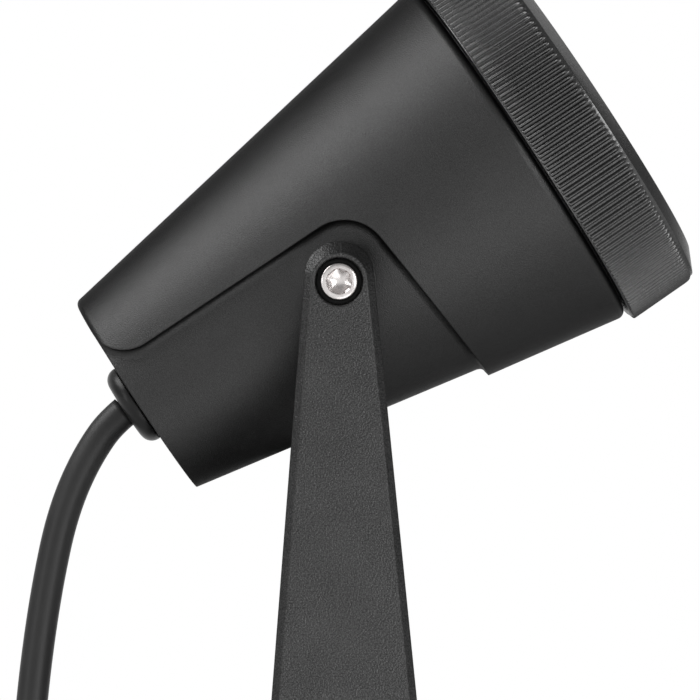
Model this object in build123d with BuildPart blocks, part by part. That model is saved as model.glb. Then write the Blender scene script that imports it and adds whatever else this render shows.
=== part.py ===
"""Garden spike spotlight: a conical head on a U bracket, on a ground spike, with its cord and plug.

Millimetres.  The origin is on the spike's axis at soil level, +Z up.  The head shines towards +X and
up, the bracket's two arms stand at -Y and +Y, and the cord leaves the head's rear towards -X.
"""

import os
from math import atan2, cos, pi, radians, sin, sqrt, tan

from build123d import *

os.makedirs("parts", exist_ok=True)

# ---------------------------------------------------------------- driving dimensions
# Bracket and pivot
pivot_above_seat = 98.0       # pivot axis above the bracket's crosspiece
arm_thickness = 9.0
arm_top_radius = 7.8
arm_top_rise = 1.2            # centre of the arm's rounded top above the pivot
arm_foot_rear = 16.1          # arm's edge behind the pivot, at the bracket's underside
arm_foot_front = 18.7         # arm's edge ahead of the pivot, at the bracket's underside
crosspiece_thickness = 8.0
bracket_corner_radius = 15.0
bracket_bevel = 1.7
crown_start = 10.0            # degrees above level where the bevel widens over an arm's top
base_hole_radius = 2.6        # two free holes for fixing the bracket to a wall or deck
base_hole_margin = 1.4        # between these holes and the spike's collar

# Pivot screws, M5 with cylindrical heads
screw_radius = 2.5
screw_length = 16.0
screw_head_radius = 4.25
screw_head_height = 5.0
screw_head_chamfer = 0.5
screw_socket_across = 5.0
screw_socket_depth = 2.6
counterbore_radius = 5.35
counterbore_depth = 6.0
counterbore_bevel = 0.3
bevel_slope = 45.0            # degrees
washer_play = 0.35            # between the pivot washer and its counterbore
pivot_fit = 0.05              # radial running clearance of the screw in the arm
pivot_washer_thickness = 0.8
friction_washer_radius = 7.2
friction_washer_thickness = 0.9
insert_radius = 3.5
insert_length = 10.5
pivot_pad_radius = 8.0
pivot_pad_height = 1.46       # pad's face above the recessed side
pivot_boss_radius = 6.0
face_gap = 0.1                # gap between faces that turn on each other
press_gap = 0.02              # gap between pieces pressed or screwed together

# Head, measured along its axis from the rear face
head_elevation = 33.4         # degrees above level, at rest
pivot_from_rear = 53.4
pivot_below_axis = 2.7
cone_rear_radius = 27.2
cone_front_radius = 45.38
body_length = 105.05
body_wall = 2.8
rear_wall = 3.0
rear_round = 1.6
front_round = 1.9
recess_rear_depth = 3.4
recess_front_depth = 2.4
recess_above_pivot = 12.7     # upper edge of the recess above the pivot, square to the axis
recess_ahead_of_pivot = 13.3  # front edge of the recess ahead of the pivot
recess_front_lean = 5.6       # degrees that its front edge leans forward, downwards
recess_corner_radius = 10.4
recess_rear_radius = 9.0
recess_root_round = 1.8       # between the recess's floor and its wall

# Front ring, glass and seals
ring_gap = 0.35
ring_wall = 4.35              # from its bore to the foot of the ribs
rib_count = 180
rib_height = 0.5
rib_foot_share = 0.62         # of the pitch
rib_tip_share = 0.40
ring_band_length = 3.4        # smooth bevelled band in front of the ribs
ring_front_land = 2.2         # width of its flat front face
ring_lip = 2.5
neck_step = 3.78              # from the body's front edge down to the neck
neck_wall = 2.4
neck_length = 11.55
thread_gap = 0.35
seal_height = 1.0
seal_groove_depth = 0.9       # in the body's front face, round the neck
glass_thickness = 3.2
glass_overlap = 1.8           # of the ring's lip over the glass
gasket_wall = 1.45
gasket_lip = 0.8
soft_gap = 0.3

# Lamp, holder and baffle
lamp_radius = 25.0
lamp_length = 46.7
lamp_rim_height = 4.5
lamp_base_radius = 10.5
lamp_base_height = 6.0
lamp_lens_thickness = 2.2
lamp_wall = 1.6
lamp_pin_spacing = 10.0
lamp_pin_radius = 1.5
lamp_pin_head_radius = 2.4
lamp_pin_length = 7.0
lamp_pin_head_length = 2.6
lamp_set_back = 17.0          # lamp's face behind the neck's front edge
holder_rim = 1.2              # around the screws' pockets
holder_web = 0.7              # between a pin's hole and a screw's pocket
holder_length = 17.0
contact_width = 1.0
bracket_thickness = 1.2
bracket_width = 14.0
post_offset = 19.5
post_radius = 4.0
small_screw_radius = 1.5
small_head_radius = 2.7
small_head_height = 2.0
slot_width = 0.7
slot_depth = 0.7
post_screw_length = 9.0
holder_screw_sink = 3.5
baffle_wall = 1.0
baffle_flange_inset = 0.8     # inside the neck's outer edge
baffle_flange = 0.7
baffle_gap = 0.4

# Wiring inside the head
block_height = 9.0
block_depth = 11.0
pole_spacing = 8.0
pole_hole_radius = 1.4
terminal_screw_radius = 1.3
terminal_screw_length = 3.2
core_radius = 1.1
core_bend = 2.4
core_circle = 1.7             # cores from the centre of the cord's end
inner_end_length = 9.5        # sheathed cord inside the rear face

# Cable gland
gland_radius = 9.6
gland_height = 3.3
gland_round = 3.0
gland_washer_radius = 8.3
gland_washer_thickness = 0.9
gland_thread_radius = 6.0
gland_tube_radius = 4.8
gland_inner_length = 9.0
gland_end_wall = 1.5
locknut_across = 17.0
locknut_thickness = 4.0
bush_gap = 0.05

# Spike and its bolt
spike_length = 170.0
spike_fin_reach = 19.5
spike_fin_thickness = 3.2
spike_tip_width = 2.0
spike_core_radius = 6.5
spike_core_share = 0.8        # of the spike's length
collar_overhang = 2.0         # beyond the fins
collar_thickness = 4.0
hub_radius = 13.0
hub_height = 8.0
swivel_washer_inset = 1.0     # inside the hub's edge
swivel_washer_thickness = 1.0
bolt_radius = 3.0
bolt_end_gap = 1.7            # from the bolt's end to the bottom of its hole
bolt_head_radius = 5.0
bolt_head_height = 6.0
bolt_socket_across = 5.0
bolt_washer_radius = 9.0
bolt_washer_thickness = 1.6
spike_insert_radius = 4.5
spike_insert_length = 16.0

# Cord, coil, tie and plug
cord_radius = 3.65
cord_joint_gap = 0.5          # slip gap between the stretch on the head and the one on the bracket
first_run = 6.9               # from the gland to the route's first corner
stub_share = 0.54             # of that run, on the head
coil_inner_radius = 33.0      # to the middle of the innermost turn
coil_gap = 0.7                # from turn to turn, and from layer to layer
coil_turns = 4.25
coil_centre_x = -25.0
coil_centre_y = 54.0
landing_run = 16.5
tail_run = 11.0               # the tail's straight runs beside the coil and the plug
tail_rise_run = 20.0          # and the rise between them
tie_width = 12.0
tie_thickness = 1.0
tie_gap = 0.3
tie_side_gap = 0.8
plug_radius = 18.5
plug_face_length = 20.0
plug_body_length = 38.0
plug_neck_radius = 8.0
plug_bend_radius = 8.0
plug_sleeve_radius = 5.4
plug_sleeve_length = 18.0
plug_pin_radius = 2.4
plug_pin_length = 19.0
plug_pin_spacing = 19.0
plug_pin_root = 8.0
plug_groove_width = 6.5
plug_groove_depth = 2.6
plug_clip_width = 4.5
plug_clip_thickness = 1.0
plug_clip_length = 14.0

# The hanging cord's corners, chosen by hand: (x, y, z)
cord_corners = [
    (-60.4, 0.0, 80.2),
    (-64.4, 0.0, 73.9),
    (-67.6, 0.0, 66.2),
    (-69.9, 0.0, 57.6),
    (-71.6, -0.2, 46.9),
    (-73.0, -0.5, 31.5),
    (-74.0, -1.2, 8.5),
    (-74.3, -2.4, -24.0),
    (-73.7, -3.6, -60.0),
    (-73.9, -4.2, -90.0),
    (-74.3, -4.0, -112.0),
    (-74.2, -4.0, -130.8),
    (-74.2, 2.6, -146.5),
    (-74.3, 14.6, -158.5),
]

# ---------------------------------------------------------------- places worked out from them
hub_top = collar_thickness + hub_height
seat_level = hub_top + swivel_washer_thickness
pivot_level = seat_level + crosspiece_thickness + pivot_above_seat
collar_radius = spike_fin_reach + collar_overhang
base_hole_spacing = 2 * (collar_radius + base_hole_margin + base_hole_radius)
pivot_washer_radius = counterbore_radius - washer_play

tilt = radians(head_elevation)
head_dir = Vector(cos(tilt), 0, sin(tilt))
head_up = Vector(-sin(tilt), 0, cos(tilt))
pivot_point = Vector(0, 0, pivot_level)
rear_centre = pivot_point - head_dir * pivot_from_rear + head_up * pivot_below_axis
head_axis = Axis(rear_centre, head_dir)
head_side = Plane(origin=rear_centre, x_dir=head_dir, z_dir=(0, -1, 0))

recess_top = recess_above_pivot - pivot_below_axis
recess_front = pivot_from_rear + recess_ahead_of_pivot
recess_lean = tan(radians(recess_front_lean))
outside = 2 * cone_front_radius

neck_end = body_length + neck_length
neck_radius = cone_front_radius - neck_step
cone_slope = atan2(cone_front_radius - cone_rear_radius, body_length)
seal_groove_radius = neck_radius + seal_height + 2 * press_gap
front_land = cone_front_radius - seal_groove_radius
front_edge_round = min(front_round, 0.97 * front_land / tan(pi / 4 + cone_slope / 2))
gasket_rear = neck_end + baffle_flange + soft_gap
glass_rear = gasket_rear + gasket_lip
glass_front = glass_rear + glass_thickness
gasket_front = glass_front + gasket_lip
lip_rear = gasket_front + soft_gap
ring_rear = body_length + ring_gap
ring_front = lip_rear + ring_lip
ring_bore_radius = neck_radius + thread_gap
ring_root_radius = ring_bore_radius + ring_wall
gasket_radius = ring_bore_radius - soft_gap
glass_radius = gasket_radius - gasket_wall
ring_aperture_radius = glass_radius - glass_overlap
ring_front_radius = ring_aperture_radius + ring_front_land
gasket_inner_radius = ring_aperture_radius + soft_gap
baffle_flange_radius = neck_radius - baffle_flange_inset

lamp_face = neck_end - lamp_set_back
lamp_rear = lamp_face - lamp_length
holder_rear = lamp_rear - holder_length
bracket_rear = holder_rear - bracket_thickness
block_rear = bracket_rear - block_height
block_width = 3 * pole_spacing
bracket_half_span = post_offset + post_radius
pin_hole_radius = lamp_pin_head_radius + face_gap
screw_pocket_radius = small_head_radius + face_gap
holder_screw_offset = lamp_pin_spacing / 2 + pin_hole_radius + holder_web + screw_pocket_radius
holder_radius = holder_screw_offset + screw_pocket_radius + holder_rim
lamp_lens_radius = lamp_radius - lamp_wall
shoulder = body_length - body_wall
neck_bore = neck_radius - neck_wall
gland_rear = -gland_washer_thickness - gland_height

floor_level = -spike_length
coil_lift = tie_thickness + tie_gap + face_gap
coil_level = floor_level + coil_lift + cord_radius
coil_pitch = 2 * cord_radius + coil_gap
layer_turns = (coil_turns - 0.5) / 2
plug_level = floor_level + plug_radius


def cone_radius(station):
    """Outer radius of the full cone at a station along the head."""
    return cone_rear_radius + (cone_front_radius - cone_rear_radius) * station / body_length


def recess_radius(station):
    """Radius of the stepped-in cone at a station along the head."""
    drop = recess_front_depth - recess_rear_depth
    return cone_radius(station) - recess_rear_depth - drop * station / recess_front


pad_face = recess_radius(pivot_from_rear) + pivot_pad_height
arm_inner = pad_face + friction_washer_thickness + face_gap
arm_outer = arm_inner + arm_thickness
washer_seat = arm_outer - counterbore_depth
screw_seat = washer_seat + pivot_washer_thickness


def head_point(station, sideways, height):
    """A place given along the head's axis, along +Y and square to both."""
    return rear_centre + head_dir * station + Vector(0, sideways, 0) + head_up * height


def across_head(station, sideways=0.0, height=0.0):
    """A plane square to the head's axis, facing forwards, with +Y to its right."""
    return Plane(origin=head_point(station, sideways, height), x_dir=(0, 1, 0), z_dir=head_dir)


def beside_pivot(reach):
    """A plane square to the pivot axis, facing +Y."""
    return Plane(origin=(0, reach, pivot_level), x_dir=(1, 0, 0), z_dir=(0, 1, 0))


def save(builder, name):
    """Label a finished piece and write it as one STEP file."""
    builder.part.label = name
    export_step(builder.part, f"parts/{name}.step")


# ---------------------------------------------------------------- head shell
# The recess is seen from the side as one outline: its upper edge runs parallel to the axis and is
# rounded up into the rear face, and its front edge drops nearly square to the axis.
recess_low = -outside
recess_reach = recess_front + recess_lean * cone_front_radius + body_wall
with BuildSketch(head_side) as recess_outline:
    with BuildLine():
        rear_end = (0, recess_top + recess_rear_radius)
        arc_end = (recess_rear_radius, recess_top)
        Line((-outside, rear_end[1]), rear_end)
        TangentArc(rear_end, arc_end, tangent=(0, -1))
        Polyline(
            arc_end,
            (recess_front - recess_lean * recess_top, recess_top),
            (recess_front - recess_lean * recess_low, recess_low),
            (-outside, recess_low),
            (-outside, rear_end[1]),
        )
    make_face()
    fillet(
        recess_outline.vertices().sort_by_distance((recess_front, recess_top, 0))[0],
        recess_corner_radius,
    )

with BuildSketch(head_side) as recess_wall_outline:
    add(recess_outline.sketch_local)
    offset(amount=body_wall, kind=Kind.INTERSECTION)

with BuildPart() as upper_cavity:
    with BuildSketch(head_side):
        with BuildLine():
            Polyline(
                (rear_wall, 0),
                (rear_wall, cone_radius(rear_wall) - body_wall),
                (shoulder, cone_radius(shoulder) - body_wall),
                (shoulder, 0),
                close=True,
            )
        make_face()
    revolve(axis=head_axis)
    extrude(recess_wall_outline.sketch, amount=outside, both=True, mode=Mode.SUBTRACT)


def at_recess_root(edge):
    """Whether an edge runs between the floor and the wall of the recess."""
    middle = edge.position_at(0.5) - head_point(0, 0, 0)
    station = middle.dot(head_dir)
    reach = (middle - head_dir * station).length
    return rear_wall / 2 < station < recess_reach and abs(reach - recess_radius(station)) < 0.1


with BuildPart() as head_shell:
    with BuildSketch(head_side) as shell_profile:
        with BuildLine():
            Polyline(
                (0, 0),
                (0, cone_rear_radius),
                (body_length, cone_front_radius),
                (body_length, neck_radius),
                (neck_end, neck_radius),
                (neck_end, 0),
                close=True,
            )
        make_face()
        fillet(
            shell_profile.vertices().sort_by_distance((0, cone_rear_radius, 0))[0],
            rear_round,
        )
        fillet(
            shell_profile.vertices().sort_by_distance((body_length, cone_front_radius, 0))[0],
            front_edge_round,
        )
    revolve(axis=head_axis)
    extrude(recess_outline.sketch, amount=outside, both=True, mode=Mode.SUBTRACT)
    with BuildSketch(head_side):
        with BuildLine():
            Polyline(
                (0, 0),
                (0, recess_radius(0)),
                (recess_reach, recess_radius(recess_reach)),
                (recess_reach, 0),
                close=True,
            )
        make_face()
    revolve(axis=head_axis)
    fillet(head_shell.edges().filter_by(at_recess_root), recess_root_round)
    # side pads and inner bosses that carry the pivot inserts
    with BuildSketch(beside_pivot(pad_face)):
        Circle(pivot_pad_radius)
    extrude(amount=-(pad_face - recess_radius(pivot_from_rear) + 2 * body_wall))
    mirror(about=Plane.XZ)
    # hollow
    with BuildSketch(head_side):
        with BuildLine():
            Polyline(
                (rear_wall, 0),
                (rear_wall, recess_radius(rear_wall) - body_wall),
                (shoulder, recess_radius(shoulder) - body_wall),
                (shoulder, neck_bore),
                (neck_end, neck_bore),
                (neck_end, 0),
                close=True,
            )
        make_face()
    revolve(axis=head_axis, mode=Mode.SUBTRACT)
    add(upper_cavity.part, mode=Mode.SUBTRACT)
    with BuildSketch(beside_pivot(pad_face)):
        Circle(pivot_boss_radius)
    extrude(amount=-insert_length - press_gap)
    with BuildSketch(beside_pivot(-pad_face)):
        Circle(pivot_boss_radius)
    extrude(amount=insert_length + press_gap)
    with BuildSketch(beside_pivot(pad_face)):
        Circle(insert_radius + press_gap)
    extrude(amount=-2 * pad_face, mode=Mode.SUBTRACT)
    # posts for the lampholder's bracket
    with BuildSketch(across_head(rear_wall / 2)):
        with Locations((post_offset, 0), (-post_offset, 0)):
            Circle(post_radius)
    extrude(amount=bracket_rear - rear_wall / 2)
    with BuildSketch(across_head(bracket_rear)):
        with Locations((post_offset, 0), (-post_offset, 0)):
            Circle(small_screw_radius + press_gap)
    extrude(amount=-post_screw_length, mode=Mode.SUBTRACT)
    # groove for the ring's seal
    with BuildSketch(across_head(body_length)):
        Circle(seal_groove_radius)
        Circle(neck_radius, mode=Mode.SUBTRACT)
    extrude(amount=-seal_groove_depth, mode=Mode.SUBTRACT)
    # hole for the cable gland
    with BuildSketch(across_head(0)):
        Circle(gland_thread_radius + press_gap)
    extrude(amount=rear_wall, mode=Mode.SUBTRACT)
save(head_shell, "head_shell")

# ---------------------------------------------------------------- front ring, glass and seals
def rib_outline():
    """Corner points of the ribbed outline, four to each rib."""
    pitch = 2 * pi / rib_count
    foot = pitch * rib_foot_share / 2
    tip = pitch * rib_tip_share / 2
    tip_radius = ring_root_radius + rib_height
    corners = []
    for rib in range(rib_count):
        middle = rib * pitch
        for angle, radius in (
            (middle - foot, ring_root_radius),
            (middle - tip, tip_radius),
            (middle + tip, tip_radius),
            (middle + foot, ring_root_radius),
        ):
            corners.append((radius * cos(angle), radius * sin(angle)))
    return corners


with BuildPart() as front_ring:
    with BuildSketch(across_head(ring_rear)):
        with BuildLine():
            Polyline(*rib_outline(), close=True)
        make_face()
        Circle(ring_bore_radius, mode=Mode.SUBTRACT)
    extrude(amount=ring_front - ring_band_length - ring_rear)
    with BuildSketch(head_side):
        with BuildLine():
            Polyline(
                (ring_front - ring_band_length, ring_bore_radius),
                (ring_front - ring_band_length, ring_root_radius),
                (ring_front, ring_front_radius),
                (ring_front, ring_aperture_radius),
                (lip_rear, ring_aperture_radius),
                (lip_rear, ring_bore_radius),
                close=True,
            )
        make_face()
    revolve(axis=head_axis)
save(front_ring, "front_ring")

with BuildPart() as ring_seal:
    with BuildSketch(across_head(body_length - seal_groove_depth + press_gap)):
        Circle(seal_groove_radius - press_gap)
        Circle(neck_radius + press_gap, mode=Mode.SUBTRACT)
    extrude(amount=seal_groove_depth - press_gap + ring_gap - soft_gap)
save(ring_seal, "ring_seal")

with BuildPart() as front_glass:
    with BuildSketch(across_head(glass_rear)):
        Circle(glass_radius)
    extrude(amount=glass_thickness)
save(front_glass, "front_glass")

with BuildPart() as glass_gasket:
    with BuildSketch(across_head(gasket_rear)):
        Circle(gasket_radius)
        Circle(gasket_inner_radius, mode=Mode.SUBTRACT)
    extrude(amount=gasket_front - gasket_rear)
    with BuildSketch(across_head(glass_rear)):
        Circle(glass_radius)
    extrude(amount=glass_thickness, mode=Mode.SUBTRACT)
save(glass_gasket, "glass_gasket")

# ---------------------------------------------------------------- lamp, baffle and holder
with BuildPart() as lamp_baffle:
    mouth = neck_bore - baffle_wall - baffle_gap
    throat = lamp_radius + baffle_gap
    throat_station = lamp_face + baffle_gap
    with BuildSketch(head_side):
        with BuildLine():
            Polyline(
                (neck_end, baffle_flange_radius),
                (neck_end, mouth + baffle_wall),
                (throat_station, throat + baffle_wall),
                (throat_station, lamp_radius - baffle_wall),
                (throat_station + baffle_wall, lamp_radius - baffle_wall),
                (throat_station + baffle_wall, throat),
                (neck_end + baffle_flange, mouth),
                (neck_end + baffle_flange, baffle_flange_radius),
                close=True,
            )
        make_face()
    revolve(axis=head_axis)
save(lamp_baffle, "lamp_baffle")

with BuildPart() as lamp_housing:
    with BuildSketch(head_side):
        with BuildLine():
            waist = (lamp_rear + lamp_base_height, lamp_base_radius)
            rim = (lamp_face - lamp_rim_height, lamp_radius)
            Polyline((lamp_rear, 0), (lamp_rear, lamp_base_radius), waist)
            SagittaArc(waist, rim, sagitta=lamp_base_height / 2)
            Polyline(
                rim,
                (lamp_face, lamp_radius),
                (lamp_face, lamp_lens_radius),
                (lamp_face - lamp_lens_thickness, lamp_lens_radius),
                (lamp_face - lamp_lens_thickness, 0),
                (lamp_rear, 0),
            )
        make_face()
    revolve(axis=head_axis)
    with BuildSketch(head_side):
        with BuildLine():
            hollow_rear = lamp_rear + lamp_base_height
            hollow_front = lamp_face - lamp_lens_thickness
            Polyline(
                (hollow_rear, 0),
                (hollow_rear, lamp_base_radius - lamp_wall),
                (lamp_face - lamp_rim_height, lamp_radius - 2 * lamp_wall),
                (hollow_front, lamp_radius - 2 * lamp_wall),
                (hollow_front, 0),
                close=True,
            )
        make_face()
    revolve(axis=head_axis, mode=Mode.SUBTRACT)
save(lamp_housing, "lamp_housing")

with BuildPart() as lamp_lens:
    with BuildSketch(across_head(lamp_face - lamp_lens_thickness)):
        Circle(lamp_lens_radius)
    extrude(amount=lamp_lens_thickness)
save(lamp_lens, "lamp_lens")

pin_places = ((lamp_pin_spacing / 2, 0), (-lamp_pin_spacing / 2, 0))
with BuildPart() as lamp_pins:
    with BuildSketch(across_head(lamp_rear)):
        with Locations(*pin_places):
            Circle(lamp_pin_radius)
    extrude(amount=-lamp_pin_length)
    with BuildSketch(across_head(lamp_rear - lamp_pin_length)):
        with Locations(*pin_places):
            Circle(lamp_pin_head_radius)
    extrude(amount=lamp_pin_head_length)
save(lamp_pins, "lamp_pins")

holder_screw_places = ((holder_screw_offset, 0), (-holder_screw_offset, 0))
pin_hole_depth = lamp_pin_length + contact_width
with BuildPart() as lampholder:
    with BuildSketch(across_head(holder_rear)):
        Circle(holder_radius)
    extrude(amount=holder_length)
    with BuildSketch(across_head(lamp_rear)):
        with Locations(*pin_places):
            Circle(pin_hole_radius)
    extrude(amount=-pin_hole_depth, mode=Mode.SUBTRACT)
    with BuildSketch(across_head(lamp_rear)):
        with Locations(*holder_screw_places):
            Circle(small_screw_radius + press_gap)
    extrude(amount=-holder_length, mode=Mode.SUBTRACT)
    with BuildSketch(across_head(lamp_rear)):
        with Locations(*holder_screw_places):
            Circle(screw_pocket_radius)
    extrude(amount=-holder_screw_sink, mode=Mode.SUBTRACT)
save(lampholder, "lampholder")

with BuildPart() as holder_contacts:
    with BuildSketch(across_head(lamp_rear - pin_hole_depth)):
        with Locations(*pin_places):
            Circle(pin_hole_radius)
    extrude(amount=contact_width)
save(holder_contacts, "holder_contacts")


def small_screws(name, seat, places, length):
    """A group of like pan-head screws, their heads standing forward of the seat."""
    with BuildPart() as screws:
        with BuildSketch(across_head(seat)):
            with Locations(*places):
                Circle(small_screw_radius)
        extrude(amount=-length)
        with BuildSketch(across_head(seat)):
            with Locations(*places):
                Circle(small_head_radius)
        extrude(amount=small_head_height)
        with BuildSketch(across_head(seat + small_head_height)):
            with Locations(*places):
                Rectangle(2 * small_head_radius, slot_width)
        extrude(amount=-slot_depth, mode=Mode.SUBTRACT)
    save(screws, name)


post_places = ((post_offset, 0), (-post_offset, 0))
block_screw_places = ((pole_spacing / 2, 0), (-pole_spacing / 2, 0))
small_screws(
    "holder_screws",
    lamp_rear - holder_screw_sink,
    holder_screw_places,
    holder_length + bracket_thickness - holder_screw_sink,
)
small_screws("bracket_screws", holder_rear, post_places, bracket_thickness + post_screw_length)

with BuildPart() as holder_bracket:
    with BuildSketch(across_head(bracket_rear)):
        RectangleRounded(2 * bracket_half_span, bracket_width, bracket_width / 4)
        with Locations(*post_places, *holder_screw_places, *block_screw_places):
            Circle(small_screw_radius + press_gap, mode=Mode.SUBTRACT)
    extrude(amount=bracket_thickness)
save(holder_bracket, "holder_bracket")

# ---------------------------------------------------------------- terminals and wiring
pole_middle = block_rear + block_height / 2
poles = (-pole_spacing, 0, pole_spacing)
with BuildPart() as terminal_block:
    with BuildSketch(across_head(block_rear)):
        Rectangle(block_width, block_depth)
        with Locations(*block_screw_places):
            Circle(small_screw_radius + press_gap, mode=Mode.SUBTRACT)
    extrude(amount=block_height)
    for pole in poles:
        with BuildSketch(Plane(head_point(pole_middle, pole, 0), x_dir=(0, 1, 0), z_dir=head_up)):
            Circle(pole_hole_radius)
        extrude(amount=block_depth, both=True, mode=Mode.SUBTRACT)
        with BuildSketch(across_head(block_rear, pole)):
            with Locations((0, block_depth / 4), (0, -block_depth / 4)):
                Circle(terminal_screw_radius + press_gap)
        extrude(amount=terminal_screw_length, mode=Mode.SUBTRACT)
save(terminal_block, "terminal_block")

with BuildPart() as terminal_screws:
    for pole in poles:
        with BuildSketch(across_head(block_rear, pole)):
            with Locations((0, block_depth / 4), (0, -block_depth / 4)):
                Circle(terminal_screw_radius)
        extrude(amount=terminal_screw_length)
save(terminal_screws, "terminal_screws")

with BuildPart() as block_screws:
    with BuildSketch(across_head(block_rear)):
        with Locations(*block_screw_places):
            Circle(small_screw_radius)
    extrude(amount=block_height + bracket_thickness)
    with BuildSketch(across_head(block_rear)):
        with Locations(*block_screw_places):
            Circle(small_head_radius)
    extrude(amount=-small_head_height)
save(block_screws, "block_screws")


def wire(name, *corners):
    """One insulated wire along runs joined by arcs; each corner is (station, sideways, height)."""
    with BuildPart() as run:
        with BuildLine():
            route = FilletPolyline(*[head_point(*corner) for corner in corners], radius=core_bend)
        with BuildSketch(Plane(origin=route @ 0, z_dir=route % 0)):
            Circle(core_radius)
        sweep()
    save(run, name)


block_entry = -block_depth / 2 + core_radius
block_exit = block_depth / 2 - core_radius
core_drop = block_depth / 2 + 3 * core_bend
core_turn = inner_end_length + (pole_middle - inner_end_length) / 4
core_fall = (inner_end_length + pole_middle) / 2
for name, pole, lift in (
    ("live_core", -pole_spacing, -core_circle / 2),
    ("neutral_core", 0, core_circle),
    ("earth_core", pole_spacing, -core_circle / 2),
):
    leave = core_circle * pole / pole_spacing
    wire(
        name,
        (inner_end_length, leave, lift),
        (core_turn, leave, lift),
        (core_fall, pole, -core_drop),
        (pole_middle, pole, -core_drop),
        (pole_middle, pole, block_entry),
    )

lead_height = block_depth / 2 + 2 * core_bend
for name, pole in (("live_lead", -pole_spacing), ("neutral_lead", 0)):
    wire(
        name,
        (pole_middle, pole, block_exit),
        (pole_middle, pole, lead_height),
        (holder_rear, pole, lead_height),
    )
wire(
    "earth_lead",
    (pole_middle, pole_spacing, block_exit),
    (pole_middle, pole_spacing, lead_height),
    (pole_middle, block_width / 2 + 2 * core_radius, lead_height),
    (pole_middle, block_width / 2 + 2 * core_radius, 0),
    (bracket_rear, block_width / 2 + 2 * core_radius, 0),
)

with BuildPart() as cord_inner_end:
    with BuildSketch(across_head(gland_rear)):
        Circle(cord_radius)
    extrude(amount=inner_end_length - gland_rear)
save(cord_inner_end, "cord_inner_end")

# ---------------------------------------------------------------- cable gland
with BuildPart() as gland_washer:
    with BuildSketch(across_head(0)):
        Circle(gland_washer_radius)
        Circle(gland_thread_radius + press_gap, mode=Mode.SUBTRACT)
    extrude(amount=-gland_washer_thickness)
save(gland_washer, "gland_washer")

with BuildPart() as gland_cap:
    with BuildSketch(across_head(-gland_washer_thickness)):
        Circle(gland_radius)
    extrude(amount=-gland_height)
    fillet(
        gland_cap.edges().filter_by(GeomType.CIRCLE).sort_by(head_axis)[0],
        gland_round,
    )
    with BuildSketch(across_head(-gland_washer_thickness)):
        Circle(gland_thread_radius + press_gap)
    extrude(amount=-(gland_height - gland_end_wall), mode=Mode.SUBTRACT)
    with BuildSketch(across_head(gland_rear)):
        Circle(cord_radius + bush_gap)
    extrude(amount=gland_height, mode=Mode.SUBTRACT)
save(gland_cap, "gland_cap")

with BuildPart() as gland_body:
    with BuildSketch(across_head(gland_rear + gland_end_wall)):
        Circle(gland_thread_radius)
        Circle(gland_tube_radius, mode=Mode.SUBTRACT)
    extrude(amount=gland_inner_length - gland_rear - gland_end_wall)
save(gland_body, "gland_body")

with BuildPart() as gland_bush:
    with BuildSketch(across_head(gland_rear + gland_end_wall)):
        Circle(gland_tube_radius - press_gap)
        Circle(cord_radius + bush_gap, mode=Mode.SUBTRACT)
    extrude(amount=gland_inner_length - gland_rear - gland_end_wall)
save(gland_bush, "gland_bush")

with BuildPart() as gland_locknut:
    with BuildSketch(across_head(rear_wall)):
        RegularPolygon(locknut_across / 2, 6, major_radius=False)
        Circle(gland_thread_radius + press_gap, mode=Mode.SUBTRACT)
    extrude(amount=locknut_thickness)
save(gland_locknut, "gland_locknut")

# ---------------------------------------------------------------- pivots
with BuildPart() as pivot_inserts:
    with BuildSketch(beside_pivot(pad_face)):
        Circle(insert_radius)
        Circle(screw_radius + press_gap, mode=Mode.SUBTRACT)
    extrude(amount=-insert_length)
    mirror(about=Plane.XZ)
save(pivot_inserts, "pivot_inserts")

with BuildPart() as friction_washers:
    with BuildSketch(beside_pivot(pad_face)):
        Circle(friction_washer_radius)
        Circle(screw_radius + press_gap, mode=Mode.SUBTRACT)
    extrude(amount=friction_washer_thickness)
    mirror(about=Plane.XZ)
save(friction_washers, "friction_washers")

with BuildPart() as pivot_washers:
    with BuildSketch(beside_pivot(washer_seat)):
        Circle(pivot_washer_radius)
        Circle(screw_radius + pivot_fit, mode=Mode.SUBTRACT)
    extrude(amount=pivot_washer_thickness)
    mirror(about=Plane.XZ)
save(pivot_washers, "pivot_washers")

with BuildPart() as pivot_screws:
    with BuildSketch(beside_pivot(screw_seat)):
        Circle(screw_radius)
    extrude(amount=-screw_length)
    with BuildSketch(beside_pivot(screw_seat)):
        Circle(screw_head_radius)
    extrude(amount=screw_head_height)
    chamfer(pivot_screws.edges().sort_by(Axis.Y)[-1], screw_head_chamfer)
    with BuildSketch(beside_pivot(screw_seat + screw_head_height)):
        RegularPolygon(screw_socket_across / 2, 6, major_radius=False)
    extrude(amount=-screw_socket_depth, mode=Mode.SUBTRACT)
    mirror(about=Plane.XZ)
save(pivot_screws, "pivot_screws")

# ---------------------------------------------------------------- bracket
# The flat of an arm's outer face ends in an arc about the pivot, so the bevel is widest over the top.
crown_angle = radians(crown_start)
arm_flat_radius = arm_top_radius - bracket_bevel + arm_top_rise * sin(crown_angle)
with BuildPart() as arm_crowns:
    with BuildSketch(
        Plane(
            origin=(0, 0, pivot_level),
            x_dir=(cos(crown_angle), 0, sin(crown_angle)),
            z_dir=(-sin(crown_angle), 0, cos(crown_angle)),
        )
    ):
        with BuildLine():
            Polyline(
                (arm_flat_radius - bracket_bevel, arm_outer + bracket_bevel),
                (arm_flat_radius + arm_top_radius, arm_outer + bracket_bevel),
                (arm_flat_radius + arm_top_radius, arm_outer - arm_top_radius),
                close=True,
            )
        make_face()
    revolve(
        axis=Axis((0, 0, pivot_level), (0, -1, 0)),
        revolution_arc=180 - 2 * crown_start,
    )
    mirror(about=Plane.XZ)

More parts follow.
